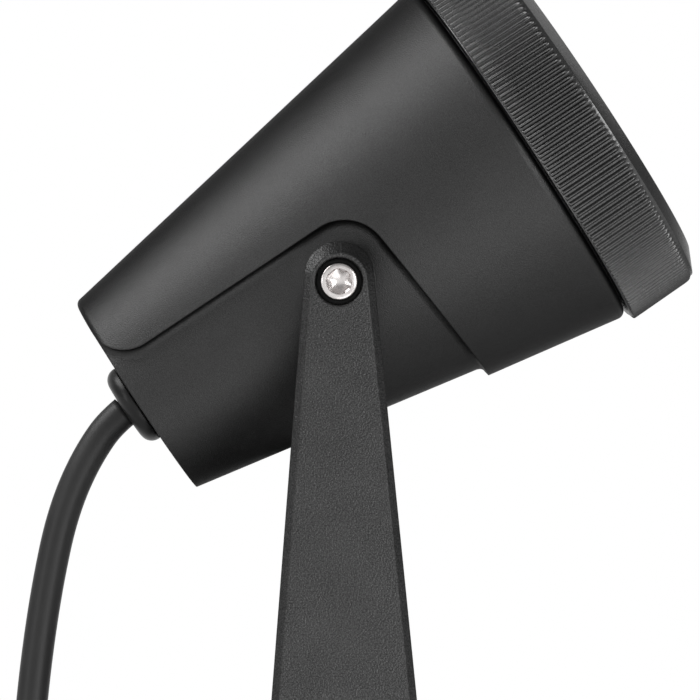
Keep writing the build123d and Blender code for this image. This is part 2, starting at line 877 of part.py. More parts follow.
with BuildPart() as yoke:
    with BuildSketch(Plane.YZ.offset(-arm_foot_rear)):
        with BuildLine():
            top = pivot_level + arm_top_rise + arm_top_radius
            Polyline(
                (-arm_outer, top),
                (-arm_outer, seat_level),
                (arm_outer, seat_level),
                (arm_outer, top),
                (arm_inner, top),
                (arm_inner, seat_level + crosspiece_thickness),
                (-arm_inner, seat_level + crosspiece_thickness),
                (-arm_inner, top),
                close=True,
            )
        make_face()
    extrude(amount=arm_foot_rear + arm_foot_front)
    fillet(
        yoke.edges().filter_by(Axis.X).group_by(Axis.Z)[0],
        bracket_corner_radius,
    )
    fillet(
        yoke.edges().filter_by(Axis.X).filter_by_position(
            Axis.Z, seat_level + crosspiece_thickness / 2, seat_level + 2 * crosspiece_thickness
        ),
        bracket_corner_radius - crosspiece_thickness,
    )
    with BuildSketch(Plane.XZ) as arm_outline:
        with Locations((0, pivot_level + arm_top_rise)):
            Circle(arm_top_radius)
        with BuildLine():
            Line((-arm_foot_rear, seat_level), (arm_foot_front, seat_level))
        make_hull()
    extrude(amount=2 * arm_outer, both=True, mode=Mode.INTERSECT)
    # the outer edge is one smooth loop over both arms, so one of its edges brings the rest
    chamfer(
        yoke.faces().sort_by(Axis.Y)[-1].edges().filter_by(GeomType.LINE).sort_by(Axis.Z)[-1],
        bracket_bevel,
    )
    add(arm_crowns.part, mode=Mode.SUBTRACT)
    for side in (1, -1):
        with BuildSketch(beside_pivot(side * arm_outer)):
            Circle(screw_radius + pivot_fit)
        extrude(amount=-side * arm_thickness, mode=Mode.SUBTRACT)
        with BuildSketch(beside_pivot(side * arm_outer)):
            Circle(counterbore_radius)
        extrude(amount=-side * counterbore_depth, mode=Mode.SUBTRACT)
        with BuildSketch(beside_pivot(side * arm_outer)):
            Circle(counterbore_radius + counterbore_bevel)
        extrude(amount=-side * counterbore_bevel, taper=bevel_slope, mode=Mode.SUBTRACT)
    with BuildSketch(Plane.XY.offset(seat_level)):
        Circle(bolt_radius + pivot_fit)
        with GridLocations(0, base_hole_spacing, 1, 2):
            Circle(base_hole_radius)
    extrude(amount=crosspiece_thickness, mode=Mode.SUBTRACT)
save(yoke, "yoke")

# ---------------------------------------------------------------- ground spike and its bolt
with BuildPart() as ground_spike:
    for fin_plane in (Plane.XZ, Plane.YZ):
        with BuildSketch(fin_plane):
            with BuildLine():
                Polyline(
                    (-spike_fin_reach, 0),
                    (spike_fin_reach, 0),
                    (spike_tip_width / 2, -spike_length),
                    (-spike_tip_width / 2, -spike_length),
                    close=True,
                )
            make_face()
        extrude(amount=spike_fin_thickness / 2, both=True)
    with BuildSketch(Plane.XZ):
        with BuildLine():
            Polyline(
                (0, 0),
                (spike_core_radius, 0),
                (spike_tip_width / 2, -spike_length * spike_core_share),
                (0, -spike_length * spike_core_share),
                close=True,
            )
        make_face()
    revolve(axis=Axis.Z)
    with BuildSketch(Plane.XY):
        Circle(collar_radius)
    extrude(amount=collar_thickness)
    with BuildSketch(Plane.XY):
        Circle(hub_radius)
    extrude(amount=hub_top)
    with BuildSketch(Plane.XY.offset(hub_top)):
        Circle(spike_insert_radius + press_gap)
    extrude(amount=-spike_insert_length, mode=Mode.SUBTRACT)
save(ground_spike, "ground_spike")

with BuildPart() as spike_insert:
    with BuildSketch(Plane.XY.offset(hub_top)):
        Circle(spike_insert_radius)
        Circle(bolt_radius + press_gap, mode=Mode.SUBTRACT)
    extrude(amount=-spike_insert_length)
save(spike_insert, "spike_insert")

with BuildPart() as swivel_washer:
    with BuildSketch(Plane.XY.offset(hub_top)):
        Circle(hub_radius - swivel_washer_inset)
        Circle(bolt_radius + pivot_fit, mode=Mode.SUBTRACT)
    extrude(amount=swivel_washer_thickness - face_gap)
save(swivel_washer, "swivel_washer")

bolt_seat = seat_level + crosspiece_thickness + face_gap + bolt_washer_thickness
bolt_end = hub_top - spike_insert_length + bolt_end_gap
with BuildPart() as bolt_washer:
    with BuildSketch(Plane.XY.offset(bolt_seat - bolt_washer_thickness)):
        Circle(bolt_washer_radius)
        Circle(bolt_radius + pivot_fit, mode=Mode.SUBTRACT)
    extrude(amount=bolt_washer_thickness)
save(bolt_washer, "bolt_washer")

with BuildPart() as spike_bolt:
    with BuildSketch(Plane.XY.offset(bolt_seat)):
        Circle(bolt_radius)
    extrude(amount=bolt_end - bolt_seat)
    with BuildSketch(Plane.XY.offset(bolt_seat)):
        Circle(bolt_head_radius)
    extrude(amount=bolt_head_height)
    chamfer(spike_bolt.edges().sort_by(Axis.Z)[-1], screw_head_chamfer)
    with BuildSketch(Plane.XY.offset(bolt_seat + bolt_head_height)):
        RegularPolygon(bolt_socket_across / 2, 6, major_radius=False)
    extrude(amount=-bolt_head_height / 2, mode=Mode.SUBTRACT)
save(spike_bolt, "spike_bolt")

# ---------------------------------------------------------------- cord
def corner_turn(before, corner, after):
    """Turn of a route at one corner, in degrees."""
    return (corner - before).get_angle(after - corner)


def corner_radii(corners):
    """Arc radius at each inner corner: 0.45 of the shorter run over the tangent of half the turn."""
    radii = []
    for before, corner, after in zip(corners, corners[1:], corners[2:]):
        shorter = min((corner - before).length, (after - corner).length)
        radii.append(0.45 * shorter / tan(radians(corner_turn(before, corner, after)) / 2))
    return radii


def cord_tube(name, corners, radii):
    """A stretch of cord along straight runs joined by tangent arcs."""
    with BuildPart() as stretch:
        with BuildLine():
            route = FilletPolyline(*corners, radius=radii)
        with BuildSketch(Plane(origin=route @ 0, z_dir=route % 0)):
            Circle(cord_radius)
        sweep()
    save(stretch, name)
    expected = pi * cord_radius**2 * route.length
    print(name, "radii", [round(radius, 1) for radius in radii])
    print(name, "length", round(route.length, 1))
    print(name, "volume share", round(stretch.part.volume / expected, 5))
    return route.length


def coil_radius(turn):
    """Distance of the coil's centreline from its middle after so many turns."""
    edge = coil_inner_radius + coil_pitch / 8
    if turn < layer_turns:
        return edge + coil_pitch * (layer_turns - turn)
    if turn > layer_turns + 0.5:
        return edge + coil_pitch * (turn - layer_turns - 0.5)
    return coil_inner_radius + 2 * coil_pitch * (turn - layer_turns - 0.25) ** 2


def coil_point(turn):
    """A place on the coil: it winds in on the floor, climbs in half a turn and winds out on top."""
    climb = min(max((turn - layer_turns) / 0.5, 0), 1)
    height = coil_level + coil_pitch * climb**2 * (3 - 2 * climb)
    angle = pi - 2 * pi * turn
    radius = coil_radius(turn)
    return Vector(coil_centre_x + radius * cos(angle), coil_centre_y + radius * sin(angle), height)


def coil_heading(turn):
    """Direction of the cord at a place on the coil."""
    step = 1e-4
    return (coil_point(turn + step) - coil_point(turn - step)).normalized()


def biarc(start, start_dir, end, end_dir):
    """Two arcs that leave one place and reach the next in the given directions."""
    chord = end - start
    along = chord.dot(start_dir + end_dir)
    spread = 2 * (1 - start_dir.dot(end_dir))
    reach = (sqrt(along**2 + spread * chord.dot(chord)) - along) / spread
    middle = (start + end + (start_dir - end_dir) * reach) * 0.5
    first = TangentArc(start, middle, tangent=start_dir)
    TangentArc(middle, end, tangent=first % 1)


coil_start = coil_point(0)
coil_start_dir = coil_heading(0)
coil_end = coil_point(coil_turns)
coil_end_dir = coil_heading(coil_turns)
coil_in = coil_start - coil_start_dir * 2 * cord_radius
coil_out = coil_end + coil_end_dir * 2 * cord_radius
coil_steps = round(4 * coil_turns)

with BuildPart() as cord_coil:
    with BuildLine() as winding:
        Line(coil_in, coil_start)
        for step in range(coil_steps):
            here = coil_turns * step / coil_steps
            there = coil_turns * (step + 1) / coil_steps
            biarc(coil_point(here), coil_heading(here), coil_point(there), coil_heading(there))
        Line(coil_end, coil_out)
    with BuildSketch(Plane(origin=coil_in, z_dir=coil_start_dir)):
        Circle(cord_radius)
    sweep()
save(cord_coil, "cord_coil")
coil_length = winding.wires()[0].length

coil_samples = 72
sample_turns = [step / coil_samples for step in range(int(coil_turns * coil_samples))]
samples = [(turn, coil_point(turn)) for turn in sample_turns]
least_gap = min(
    (place - other).length
    for turn, place in samples
    for other_turn, other in samples
    if other_turn - turn > 0.5
) - 2 * cord_radius
coil_volume = pi * cord_radius**2 * coil_length
print("cord_coil length", round(coil_length, 1), "least gap to itself", round(least_gap, 2))
print("cord_coil volume share", round(cord_coil.part.volume / coil_volume, 5))

# The first run leaves the gland along the head's axis.  The stub on it turns with the head, and the
# rest hangs from the bracket.
cord_exit = head_point(gland_rear, 0, 0)
landing = coil_in - coil_start_dir * landing_run
whole_route = [
    cord_exit,
    cord_exit - head_dir * first_run,
    *[Vector(*corner) for corner in cord_corners],
    landing,
    coil_in,
]
whole_radii = corner_radii(whole_route)
stub_length = stub_share * first_run - cord_joint_gap
run_start = cord_exit - head_dir * (stub_length + cord_joint_gap)

with BuildPart() as cord_stub:
    with BuildSketch(across_head(gland_rear)):
        Circle(cord_radius)
    extrude(amount=-stub_length)
save(cord_stub, "cord_stub")

run_length = cord_tube("cord_run", [run_start, *whole_route[1:]], whole_radii)

tail_end = coil_out + coil_end_dir * tail_run
rise = plug_level - tail_end.Z
rise_end = tail_end + Vector(sqrt(tail_rise_run**2 - rise**2), 0, rise)
plug_start = rise_end + Vector(tail_run, 0, 0)
tail_route = [coil_out, tail_end, rise_end, plug_start]
tail_length = cord_tube("cord_tail", tail_route, corner_radii(tail_route))
cord_total = stub_length + cord_joint_gap + run_length + coil_length + tail_length
print("cord from gland to plug", round(cord_total, 1))

# ---------------------------------------------------------------- tie
half_turns = [turn + 0.5 for turn in range(int(coil_turns - 0.5) + 1)]
tie_turns = [turn for turn in half_turns if abs(turn - coil_turns / 2) > 0.25]
tie_inner = min(coil_radius(turn) for turn in tie_turns) - cord_radius - tie_side_gap
tie_outer = max(coil_radius(turn) for turn in tie_turns) + cord_radius + tie_side_gap
tie_low = coil_level - cord_radius - tie_gap
tie_high = coil_level + coil_pitch + cord_radius + tie_gap
tie_middle_z = (tie_low + tie_high) / 2
tie_plane = Plane(
    origin=(coil_centre_x + (tie_inner + tie_outer) / 2, coil_centre_y, tie_middle_z),
    x_dir=(1, 0, 0),
    z_dir=(0, -1, 0),
)
with BuildPart() as cord_tie:
    with BuildSketch(tie_plane):
        RectangleRounded(
            tie_outer - tie_inner + 2 * tie_thickness,
            tie_high - tie_low + 2 * tie_thickness,
            cord_radius + tie_thickness,
        )
        RectangleRounded(tie_outer - tie_inner, tie_high - tie_low, cord_radius, mode=Mode.SUBTRACT)
    extrude(amount=tie_width / 2, both=True)
save(cord_tie, "cord_tie")

# ---------------------------------------------------------------- plug
plug_side = Plane(origin=plug_start, x_dir=(1, 0, 0), z_dir=(0, -1, 0))
plug_axis = Axis(plug_start, (1, 0, 0))
plug_length = plug_sleeve_length + plug_body_length
plug_face_rear = plug_length - plug_face_length
plug_front = Plane(origin=plug_start + Vector(plug_length, 0, 0), x_dir=(0, 1, 0), z_dir=(1, 0, 0))
pin_row = ((plug_pin_spacing / 2, 0), (-plug_pin_spacing / 2, 0))
clip_height = plug_radius - plug_groove_depth
with BuildPart() as plug_body:
    with BuildSketch(plug_side) as plug_profile:
        with BuildLine():
            Polyline(
                (0, 0),
                (0, plug_sleeve_radius),
                (plug_sleeve_length, plug_neck_radius),
                (plug_face_rear, plug_radius),
                (plug_length, plug_radius),
                (plug_length, 0),
                close=True,
            )
        make_face()
        for bend in ((plug_sleeve_length, plug_neck_radius, 0), (plug_face_rear, plug_radius, 0)):
            fillet(plug_profile.vertices().sort_by_distance(bend)[0], plug_bend_radius)
    revolve(axis=plug_axis)
    with BuildSketch(plug_front):
        with Locations(*pin_row):
            Circle(plug_pin_radius + press_gap)
    extrude(amount=-plug_pin_root, mode=Mode.SUBTRACT)
    with BuildSketch(plug_front):
        with GridLocations(0, 2 * (clip_height + plug_groove_depth), 1, 2):
            Rectangle(plug_groove_width, 2 * plug_groove_depth)
    extrude(amount=-plug_face_length, mode=Mode.SUBTRACT)
save(plug_body, "plug_body")

with BuildPart() as plug_pins:
    with BuildSketch(plug_front.offset(-plug_pin_root)):
        with Locations(*pin_row):
            Circle(plug_pin_radius)
    extrude(amount=plug_pin_root + plug_pin_length)
    fillet(plug_pins.edges().group_by(Axis.X)[-1], plug_pin_radius / 2)
save(plug_pins, "plug_pins")

with BuildPart() as plug_earth_clips:
    with BuildSketch(plug_front):
        with GridLocations(0, 2 * clip_height + plug_clip_thickness, 1, 2):
            Rectangle(plug_clip_width, plug_clip_thickness)
    extrude(amount=-plug_clip_length)
save(plug_earth_clips, "plug_earth_clips")
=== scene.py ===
# %% [markdown]
# # Garden spike spotlight
# A conical black head tilts between the arms of a U bracket, which turns on a ground spike. The
# CAD model gives every piece its size and place; here it gets its surfaces, its cord and its
# finer forms.

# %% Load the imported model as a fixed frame
from math import cos, pi, radians, sin

import bmesh
import bpy
from mathutils import Matrix, Vector


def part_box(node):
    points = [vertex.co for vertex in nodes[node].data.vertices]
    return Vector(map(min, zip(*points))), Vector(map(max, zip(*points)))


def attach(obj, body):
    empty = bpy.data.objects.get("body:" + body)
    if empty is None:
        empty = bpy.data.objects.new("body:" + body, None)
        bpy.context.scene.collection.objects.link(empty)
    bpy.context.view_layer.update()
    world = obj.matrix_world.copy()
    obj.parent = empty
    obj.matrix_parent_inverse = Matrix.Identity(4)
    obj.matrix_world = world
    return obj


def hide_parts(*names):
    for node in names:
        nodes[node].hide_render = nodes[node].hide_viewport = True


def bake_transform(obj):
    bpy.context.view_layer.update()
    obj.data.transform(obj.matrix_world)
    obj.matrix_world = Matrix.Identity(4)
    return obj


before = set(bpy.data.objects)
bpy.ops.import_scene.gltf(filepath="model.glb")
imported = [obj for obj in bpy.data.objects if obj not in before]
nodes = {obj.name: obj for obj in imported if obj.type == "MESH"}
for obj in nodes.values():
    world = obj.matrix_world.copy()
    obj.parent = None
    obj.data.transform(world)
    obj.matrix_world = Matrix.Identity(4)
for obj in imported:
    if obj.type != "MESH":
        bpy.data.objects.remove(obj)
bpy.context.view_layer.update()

# %% [markdown]
# ## Where things are
# The head's own axis leans 33.4 degrees above level, and most of its pieces are round about that
# axis. So they are made upright, about local Z, where a point is a station along the axis and a
# radius, and one matrix then lays them along the head.

# %% The head's axis and its matrix
head_tilt = radians(33.4)
pivot_level = 0.119
pivot_station = 0.0534
pivot_below_axis = 0.0027
head_dir = Vector((cos(head_tilt), 0, sin(head_tilt)))
head_up = Vector((-sin(head_tilt), 0, cos(head_tilt)))
rear_centre = Vector((0, 0, pivot_level)) - head_dir * pivot_station + head_up * pivot_below_axis
head_frame = Matrix((head_up, Vector((0, -1, 0)), head_dir)).transposed().to_4x4()
head_frame.translation = rear_centre
print("rear face at", [round(v, 4) for v in rear_centre])

# %% [markdown]
# ## Camera
# The light was photographed square from the side with a long lens, so its two arms cover each
# other. The camera stands 1.27 m away, level with the lower part of the head, and looks along +Y.

# %% Camera
camera = bpy.data.objects.new("camera", bpy.data.cameras.new("camera"))
bpy.context.scene.collection.objects.link(camera)
camera.data.sensor_width = 36
camera.data.lens = 282.9
camera.data.clip_start = 0.05
camera.data.clip_end = 50
camera.location = (0.00245, -1.27315, 0.10368)
camera.rotation_euler = (pi / 2, 0, 0)
bpy.context.scene.camera = camera
print("lens", round(camera.data.lens, 1), "mm at", [round(v, 4) for v in camera.location])

# %% [markdown]
# ## Node arithmetic
# A finish is a small sum: grain plus mottling, thresholds, blends. Written as a chain of Math
# nodes it is hard to read, so one class wraps a socket and lets Python's own operators add the
# nodes. Most colours here are greys, so a short function writes one from its level.


# %% Grey levels
def grey(level, warmth=0.0):
    """A colour of one grey level, slightly warm or cool."""
    return (level * (1 + warmth), level, level * (1 - warmth), 1)


# %% A socket that can be added and multiplied
class Flow:
    """A value that flows through a node tree."""

    def __init__(self, tree, socket):
        self.tree = tree
        self.socket = socket

    def sum(self, operation, first, second):
        return self.tree.node("ShaderNodeMath", {"operation": operation}, {0: first, 1: second})

    def __add__(self, other):
        return self.sum("ADD", self, other)

    def __radd__(self, other):
        return self.sum("ADD", other, self)

    def __sub__(self, other):
        return self.sum("SUBTRACT", self, other)

    def __rsub__(self, other):
        return self.sum("SUBTRACT", other, self)

    def __mul__(self, other):
        return self.sum("MULTIPLY", self, other)

    def __rmul__(self, other):
        return self.sum("MULTIPLY", other, self)

    def __gt__(self, other):
        return self.sum("GREATER_THAN", self, other)

    def __lt__(self, other):
        return self.sum("LESS_THAN", self, other)

    def __abs__(self):
        return self.sum("ABSOLUTE", self, 0.0)


# %% A node tree
class Tree:
    """A node tree whose nodes are made by node() and by arithmetic on what it returns."""

    def __init__(self, tree):
        self.tree = tree

    def node(self, kind, settings=None, inputs=None, output=0):
        """Make a node: its settings first, then the values or links of its sockets."""
        made = self.tree.nodes.new(kind)
        settings = dict(settings or {})
        stops = settings.pop("stops", ())
        for setting, value in settings.items():
            setattr(made, setting, value)
        if stops:
            ramp = made.color_ramp.elements
            while len(ramp) < len(stops):
                ramp.new(1.0)
            for element, (place, shade) in zip(ramp, stops):
                element.position = place
                element.color = grey(shade)
        for socket, value in (inputs or {}).items():
            self.feed(made.inputs[socket], value)
        return Flow(self, made.outputs[output])

    def feed(self, socket, value):
        """Link a flow to a socket, or set the socket's own value."""
        if isinstance(value, Flow):
            self.tree.links.new(value.socket, socket)
        else:
            socket.default_value = value

    def vector(self, operation, first, second=(0, 0, 0), output="Vector"):
        """One step of arithmetic on places."""
        settings = {"operation": operation}
        return self.node("ShaderNodeVectorMath", settings, {0: first, 1: second}, output)

    def clamp(self, flow):
        """Keep a value between 0 and 1."""
        return self.node("ShaderNodeClamp", inputs={"Value": flow})

    def sine(self, flow):
        """The sine of a value in radians."""
        return self.node("ShaderNodeMath", {"operation": "SINE"}, {0: flow})

    def seen(self, mirrored=1.0):
        """How far a ray sees the background: the camera's, one through glass or a mirrored one."""
        camera, through, glossy = (
            self.node("ShaderNodeLightPath", output=f"Is {kind} Ray")
            for kind in ("Camera", "Transmission", "Glossy")
        )
        return self.clamp(camera + through + glossy * mirrored)

    def ramp(self, flow, *stops):
        """Turn a value into another by straight steps between stops."""
        return self.node("ShaderNodeValToRGB", {"stops": stops}, {"Fac": flow})

    def mix(self, share, first, second):
        """Blend two colours."""
        return self.node(
            "ShaderNodeMix", {"data_type": "RGBA"}, {0: share, 6: first, 7: second}, output=2
        )


# %% [markdown]
# ### Finishes
# Every finish is a Principled shader. What is the same all over a piece goes on the shader's own
# sockets; noise, scattered cells and rounded edges, all placed in metres on the piece, vary the
# colour, the roughness and the normal.


# %% A finish
class Finish(Tree):
    """A material built on the Principled shader; constants go on its own sockets."""

    def __init__(self, name, **constants):
        self.material = bpy.data.materials.new(name)
        self.material.use_nodes = True
        super().__init__(self.material.node_tree)
        self.shader = self.tree.nodes["Principled BSDF"]
        self.show(**constants)

    def place(self, axis=None):
        """Where a point lies on the piece, in metres: all of it, or one axis."""
        place = self.node("ShaderNodeTexCoord", output="Object")
        if axis is None:
            return place
        return self.node("ShaderNodeSeparateXYZ", inputs={"Vector": place}, output=axis)

    def noise(self, scale, detail=2.0):
        """Soft random grey, about 0 to 1; scale is in lumps to the metre."""
        inputs = {"Vector": self.place(), "Scale": scale, "Detail": detail}
        return self.node("ShaderNodeTexNoise", inputs=inputs)

    def cells(self, scale):
        """Distance to the nearest of scattered points."""
        return self.node("ShaderNodeTexVoronoi", inputs={"Vector": self.place(), "Scale": scale})

    def soft_edges(self, radius):
        """The normal of a piece whose edges are rounded a little."""
        return self.node("ShaderNodeBevel", {"samples": 6}, {"Radius": radius})

    def bump(self, height, distance, normal=None):
        """Raise the surface by a height, in metres at 1."""
        inputs = {"Height": height, "Distance": distance}
        if normal is not None:
            inputs["Normal"] = normal
        return self.node("ShaderNodeBump", inputs=inputs)

    def show(self, **flows):
        """Feed the shader's sockets."""
        for socket, flow in flows.items():
            self.feed(self.shader.inputs[socket.replace("_", " ")], flow)


# %% [markdown]
# ## Studio
# A black product on white needs little light and much to mirror. The white that the camera sees
# comes from the world through Light Path, so it adds no light of its own. Reflections see the
# same white around the horizon, dimmer towards the sides, and a dim ceiling above it, as they
# would in a white room.

# %% World
room_strength = 0.34
horizon_top, ceiling_edge = 0.56, 0.70
side_dimming = 0.9

world = bpy.data.worlds.new("studio")
bpy.context.scene.world = world
world.use_nodes = True
sky = Tree(world.node_tree)
heading = sky.node("ShaderNodeTexCoord", output="Generated")
height = sky.node("ShaderNodeSeparateXYZ", inputs={"Vector": heading}, output="Z")
sideways = sky.node("ShaderNodeSeparateXYZ", inputs={"Vector": heading}, output="X")
horizon = sky.ramp(height * 0.5 + 0.5, (horizon_top, 1.0), (ceiling_edge, 0.0)) * (
    1 - sideways * sideways * side_dimming
)
room_light = sky.node(
    "ShaderNodeBackground", inputs={"Color": grey(1.0), "Strength": room_strength}
)
white = sky.node("ShaderNodeBackground", inputs={"Color": grey(1.0), "Strength": 1.0})
surroundings = sky.node(
    "ShaderNodeMixShader", inputs={0: sky.seen(horizon), 1: room_light, 2: white}
)
sky.feed(world.node_tree.nodes["World Output"].inputs["Surface"], surroundings)
bpy.context.scene.view_settings.view_transform = "Standard"
print("world nodes:", len(world.node_tree.nodes))

# %% [markdown]
# ### Lamps
# A wide softbox above and to the left draws the long highlight on the cone. Two tall strips draw
# the lines of light on the bracket and the ring, and a softbox behind lifts the outline. A small
# card below brightens the underside of the head.


# %% Softboxes
def softbox(name, place, target, width, depth, radiance):
    """A rectangular area lamp of a given radiance, turned to its target."""
    lamp = bpy.data.lights.new(name, "AREA")
    lamp.shape = "RECTANGLE"
    lamp.size = width
    lamp.size_y = depth
    lamp.energy = radiance * pi * width * depth
    holder = bpy.data.objects.new(name, lamp)
    bpy.context.scene.collection.objects.link(holder)
    holder.location = place
    aim = Vector(target) - Vector(place)
    holder.rotation_euler = aim.to_track_quat("-Z", "Y").to_euler()
    holder.visible_camera = False
    print(name, round(lamp.energy, 1), "W")
    return holder


# name, place, target, width and depth in metres, radiance
softbox("softbox_key", (-0.74, -0.14, 0.82), (0.0, 0.0, 0.12), 0.72, 0.52, 5.4)
card_low = softbox("card_low", (0.09, -0.29, -0.09), (0.04, -0.03, 0.12), 0.24, 0.18, 1.3)
softbox("strip_right", (0.63, -0.97, 0.24), (0.06, -0.04, 0.15), 0.30, 0.60, 6.0)
softbox("strip_left", (-0.90, -0.75, 0.25), (0.0, 0.0, 0.12), 0.16, 0.50, 5.0)
softbox("softbox_back", (0.5, 0.9, 0.75), (0.0, 0.0, 0.05), 0.7, 0.5, 2.2)

# %% [markdown]
# ### Floor
# A wide matt disc takes the shadow. Towards its edge it turns into the white of the world, but
# only for the camera and for rays that are mirrored or go through glass, so no line shows where
# it ends and it adds no light. The low card would draw a hard line on it, so light linking keeps
# that lamp off the floor.

# %% Floor
floor_level = -0.17
floor_gap = 0.0002
sweep_start, sweep_end = 0.12, 0.95
sweep_share = 0.15

floor_finish = Finish("pale_floor", Roughness=0.85)
floor_finish.show(
    Base_Color=floor_finish.mix(floor_finish.noise(9.0, 3.0), grey(0.79), grey(0.83))
)
from_object = floor_finish.vector("LENGTH", floor_finish.place(), output="Value")
sweep = floor_finish.ramp(from_object, (sweep_start, sweep_share), (sweep_end, 1.0))
sweep_white = floor_finish.node(
    "ShaderNodeEmission", inputs={"Color": grey(1.0), "Strength": 1.0}
)
floor_surface = floor_finish.node(
    "ShaderNodeMixShader",
    inputs={
        0: floor_finish.seen() * sweep,
        1: Flow(floor_finish, floor_finish.shader.outputs["BSDF"]),
        2: sweep_white,
    },
)
floor_finish.feed(
    floor_finish.tree.nodes["Material Output"].inputs["Surface"], floor_surface
)
floor_mesh = bpy.data.meshes.new("floor")
floor_form = bmesh.new()
bmesh.ops.create_circle(floor_form, cap_ends=True, radius=2.4, segments=96)
floor_form.to_mesh(floor_mesh)
floor_form.free()
floor = bpy.data.objects.new("floor", floor_mesh)
bpy.context.scene.collection.objects.link(floor)
floor.location = (0, 0, floor_level - floor_gap)
floor_mesh.materials.append(floor_finish.material)
unlit_by_card = bpy.data.collections.new("unlit_by_card")
unlit_by_card.objects.link(floor)
card_low.light_linking.receiver_collection = unlit_by_card
unlit_by_card.collection_objects[0].light_linking.link_state = "EXCLUDE"
print("floor at", floor_level)

# %% [markdown]
# ## Making pieces
# Every piece made here is a row of rings of points, joined by four-sided faces: an outline spun
# about an axis, a section carried round it, or a ring carried along a path. An outline is a list
# of (station, radius) corners; sharp corners are rounded first, because no moulded or turned edge
# is really sharp.


# %% Outlines, rings and pieces
def rounded(corners, radii, steps=4):
    """An outline with each corner replaced by an arc of its radius; a radius of 0 keeps it."""
    longest = 0.45
    out = []
    for at, (corner, radius) in enumerate(zip(corners, radii)):
        here = Vector(corner)
        if radius == 0:
            out.append(here)
            continue
        back = Vector(corners[at - 1]) - here
        ahead = Vector(corners[at + 1]) - here
        turn = pi - back.angle(ahead)
        tangent = radius * sin(turn / 2) / cos(turn / 2)
        reach = min(tangent, longest * back.length, longest * ahead.length)
        start = here + back.normalized() * reach
        end = here + ahead.normalized() * reach
        for step in range(steps + 1):
            t = step / steps
            out.append((1 - t) ** 2 * start + 2 * t * (1 - t) * here + t**2 * end)
    return out


def skin(form, rings):
    """Join each ring to the next with faces; a ring of one point makes a pole."""
    for low, high in zip(rings, rings[1:]):
        count = max(len(low), len(high))
        for step in range(count):
            after = (step + 1) % count
            around = (
                low[step % len(low)],
                low[after % len(low)],
                high[after % len(high)],
                high[step % len(high)],
            )
            form.faces.new(list(dict.fromkeys(around)))
    return form


def spin(outline, segments):
    """Spin an outline of (station, radius) about local Z."""
    form = bmesh.new()
    rings = []
    for station, radius in outline:
        angles = [2 * pi * step / segments for step in range(segments if radius else 1)]
        rings.append(
            [form.verts.new((radius * cos(turn), radius * sin(turn), station)) for turn in angles]
        )
    return skin(form, rings)


def make(name, form, finish, matrix=None):
    """Make an object of a bmesh, in place."""
    if matrix is not None:
        bmesh.ops.transform(form, matrix=matrix, verts=form.verts)
    bmesh.ops.recalc_face_normals(form, faces=form.faces)
    mesh = bpy.data.meshes.new(name)
    form.to_mesh(mesh)
    form.free()
    mesh.shade_smooth()
    made = bpy.data.objects.new(name, mesh)
    bpy.context.scene.collection.objects.link(made)
    mesh.materials.append(finish.material)
    print(name, len(mesh.vertices), "points")
    return made


def put(name, form, body, finish, matrix=None):
    """Make an object that rides on a body."""
    made = make(name, form, finish, matrix)
    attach(made, body)
    return made


# %% [markdown]
# ## Cord
# The rubber cord leaves the gland along the head's axis, bends down over about three diameters
# and hangs nearly straight. Its far end is put away as a tied coil on the floor, with the plug
# beside it. One NURBS spline of order 3 carries it all; the CAD route's corners are its control
# points, moved near the head to lie on the photographed cord.

# %% The cord's control points
cord_radius = 0.00365
gland_face = -0.0042
cord_exit = rear_centre + head_dir * gland_face
hanging_points = [
    (-0.0531, 0.0, 0.0866),
    (-0.0569, 0.0, 0.0812),
    (-0.0602, 0.0, 0.0751),
    (-0.0628, 0.0, 0.0688),
    (-0.0649, 0.0, 0.0619),
    (-0.0665, 0.0, 0.0545),
    (-0.0680, -0.0001, 0.0464),
    (-0.0696, -0.0004, 0.0358),
    (-0.0711, -0.0008, 0.0230),
    (-0.0725, -0.0014, 0.0060),
    (-0.0737, -0.0025, -0.0240),
    (-0.0737, -0.0036, -0.0600),
    (-0.0739, -0.0042, -0.0900),
    (-0.0743, -0.0040, -0.1120),
    (-0.0742, -0.0040, -0.1308),
    (-0.0742, 0.0026, -0.1465),
    (-0.0743, 0.0146, -0.1585),
    (-0.0742, 0.0302, -0.1648),
]
coil_centre = (-0.025, 0.054)
coil_inner_radius = 0.033
coil_pitch = 0.008
coil_turns = 4.25
coil_clearance = 0.0014
coil_level = floor_level + coil_clearance + cord_radius
layer_turns = (coil_turns - 0.5) / 2
points_per_turn = 24
tail_points = [
    (-0.0067, 0.1034, -0.15695),
    (0.0125, 0.1035, -0.1515),
    (0.02354, 0.103475, -0.1515),
]


def coil_radius(turn):
    """Distance of the coil's centreline from its middle: in on the floor, then out on top."""
    edge = coil_inner_radius + coil_pitch / 8
    if turn < layer_turns:
        return edge + coil_pitch * (layer_turns - turn)
    if turn > layer_turns + 0.5:
        return edge + coil_pitch * (turn - layer_turns - 0.5)
    return coil_inner_radius + 2 * coil_pitch * (turn - layer_turns - 0.25) ** 2


def coil_corner(turn):
    """A control point of the coil, set out so that the spline runs at the coil's own radius."""
    climb = min(max((turn - layer_turns) / 0.5, 0), 1)
    height = coil_level + coil_pitch * climb**2 * (3 - 2 * climb)
    angle = pi - 2 * pi * turn
    radius = coil_radius(turn) / cos(pi / points_per_turn)
    return (coil_centre[0] + radius * cos(angle), coil_centre[1] + radius * sin(angle), height)


coil_steps = round(coil_turns * points_per_turn)
coil_points = [coil_corner((step + 0.5) / points_per_turn) for step in range(coil_steps)]
cord_points = [tuple(cord_exit), *hanging_points, *coil_points, *tail_points]
print("cord control points:", len(cord_points))

